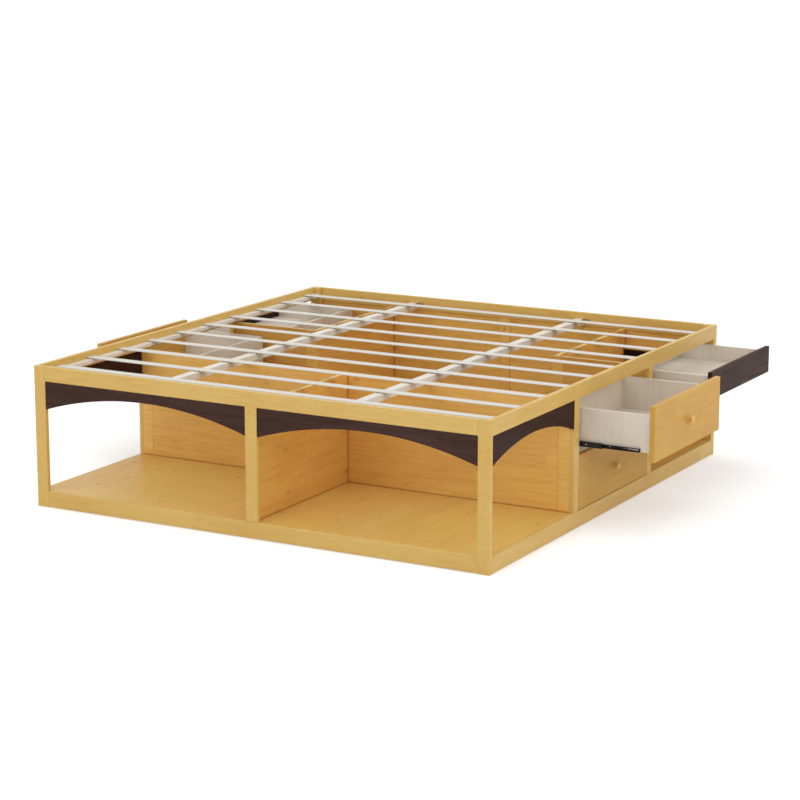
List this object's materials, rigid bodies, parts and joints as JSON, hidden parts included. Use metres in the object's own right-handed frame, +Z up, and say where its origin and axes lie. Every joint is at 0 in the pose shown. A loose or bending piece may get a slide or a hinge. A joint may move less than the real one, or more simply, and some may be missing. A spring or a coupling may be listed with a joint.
{
  "type": "tatami platform bed",
  "caption": "Low platform bed frame in light wood with dark arched valances, slatted deck, open foot bays, side niches and drawers on telescopic runners.",
  "frame": {"origin": "middle of the bed on the floor, on the underside of the centre glide", "axes": "+X to the right side, +Y from the foot to the head, +Z up"},
  "size_m": [2.563, 2.08, 0.557],
  "materials": {
    "oak": "satin lacquered light oak, fine horizontal grain",
    "oak_inside": "satin lacquered light oak, inside panels",
    "walnut": "dark walnut finish, satin",
    "drawer_board": "pale greige grained board, satin",
    "rail_paint": "off-white painted rails",
    "slat_paint": "off-white painted flats",
    "runner_steel": "black coated sheet steel",
    "bracket_steel": "dark brown coated sheet steel",
    "glide": "black plastic glide and pads"
  },
  "bodies": {
    "root": {"foot_posts": "oak", "head_posts": "oak", "foot_centre_post": "oak", "side_posts": "oak", "foot_top_rail": "oak", "head_top_rail": "oak", "side_top_rails": "oak", "foot_base_rail": "oak", "head_base_rail": "oak", "side_base_rails": "oak", "base_bearers": "oak_inside", "centre_glide": "glide", "foot_floor": "oak_inside", "side_floors": "oak_inside", "cross_wall": "oak_inside", "cross_wall_stiles": "oak_inside", "centre_divider": "oak_inside", "bay_dividers": "oak_inside", "bay_divider_stiles": "oak_inside", "bay_backs": "oak_inside", "head_panels": "oak_inside", "head_centre_post": "oak_inside", "foot_valances": "walnut", "side_valances": "walnut", "slat_ledgers": "rail_paint", "deck_rails": "rail_paint", "rail_brackets": "bracket_steel", "slat_pads": "glide", "slats": "slat_paint", "runner_battens": "oak_inside", "cabinet_runners_left": "runner_steel", "cabinet_runners_right": "runner_steel"},
    "right_upper_drawer": {"right_upper_front": "oak", "right_upper_box": "drawer_board", "right_upper_knob": "oak", "right_upper_runners": "runner_steel"},
    "right_upper_mid": {"right_upper_mid_runners": "runner_steel"},
    "right_lower_drawer": {"right_lower_front": "oak", "right_lower_box": "drawer_board", "right_lower_knob": "oak", "right_lower_runners": "runner_steel"},
    "right_lower_mid": {"right_lower_mid_runners": "runner_steel"},
    "right_dark_drawer": {"right_dark_front": "walnut", "right_dark_box": "drawer_board", "right_dark_runners": "runner_steel"},
    "right_dark_mid": {"right_dark_mid_runners": "runner_steel"},
    "left_upper_drawer": {"left_upper_front": "oak", "left_upper_box": "drawer_board", "left_upper_knob": "oak", "left_upper_runners": "runner_steel"},
    "left_upper_mid": {"left_upper_mid_runners": "runner_steel"},
    "left_lower_drawer": {"left_lower_front": "oak", "left_lower_box": "drawer_board", "left_lower_knob": "oak", "left_lower_runners": "runner_steel"},
    "left_lower_mid": {"left_lower_mid_runners": "runner_steel"},
    "left_dark_drawer": {"left_dark_front": "walnut", "left_dark_box": "drawer_board", "left_dark_runners": "runner_steel"},
    "left_dark_mid": {"left_dark_mid_runners": "runner_steel"}
  },
  "joints": [
    {"name": "right_upper_slide", "type": "slide", "parent": "root", "child": "right_upper_drawer", "axis": [1, 0, 0], "range_m": [-0.301, 0.049]},
    {"name": "right_upper_mid_slide", "type": "slide", "parent": "root", "child": "right_upper_mid", "axis": [1, 0, 0], "range_m": [-0.1505, 0.0245]},
    {"name": "right_lower_slide", "type": "slide", "parent": "root", "child": "right_lower_drawer", "axis": [1, 0, 0], "range_m": [0, 0.35]},
    {"name": "right_lower_mid_slide", "type": "slide", "parent": "root", "child": "right_lower_mid", "axis": [1, 0, 0], "range_m": [0, 0.175]},
    {"name": "right_dark_slide", "type": "slide", "parent": "root", "child": "right_dark_drawer", "axis": [1, 0, 0], "range_m": [-0.247, 0.103]},
    {"name": "right_dark_mid_slide", "type": "slide", "parent": "root", "child": "right_dark_mid", "axis": [1, 0, 0], "range_m": [-0.1235, 0.0515]},
    {"name": "left_upper_slide", "type": "slide", "parent": "root", "child": "left_upper_drawer", "axis": [-1, 0, 0], "range_m": [-0.238, 0.112]},
    {"name": "left_upper_mid_slide", "type": "slide", "parent": "root", "child": "left_upper_mid", "axis": [-1, 0, 0], "range_m": [-0.119, 0.056]},
    {"name": "left_lower_slide", "type": "slide", "parent": "root", "child": "left_lower_drawer", "axis": [-1, 0, 0], "range_m": [0, 0.35]},
    {"name": "left_lower_mid_slide", "type": "slide", "parent": "root", "child": "left_lower_mid", "axis": [-1, 0, 0], "range_m": [0, 0.175]},
    {"name": "left_dark_slide", "type": "slide", "parent": "root", "child": "left_dark_drawer", "axis": [-1, 0, 0], "range_m": [-0.175, 0.175]},
    {"name": "left_dark_mid_slide", "type": "slide", "parent": "root", "child": "left_dark_mid", "axis": [-1, 0, 0], "range_m": [-0.0875, 0.0875]}
  ],
  "couplings": [
    {"joint": "right_upper_mid_slide", "follows": "right_upper_slide", "ratio": 0.5},
    {"joint": "right_lower_mid_slide", "follows": "right_lower_slide", "ratio": 0.5},
    {"joint": "right_dark_mid_slide", "follows": "right_dark_slide", "ratio": 0.5},
    {"joint": "left_upper_mid_slide", "follows": "left_upper_slide", "ratio": 0.5},
    {"joint": "left_lower_mid_slide", "follows": "left_lower_slide", "ratio": 0.5},
    {"joint": "left_dark_mid_slide", "follows": "left_dark_slide", "ratio": 0.5}
  ]
}
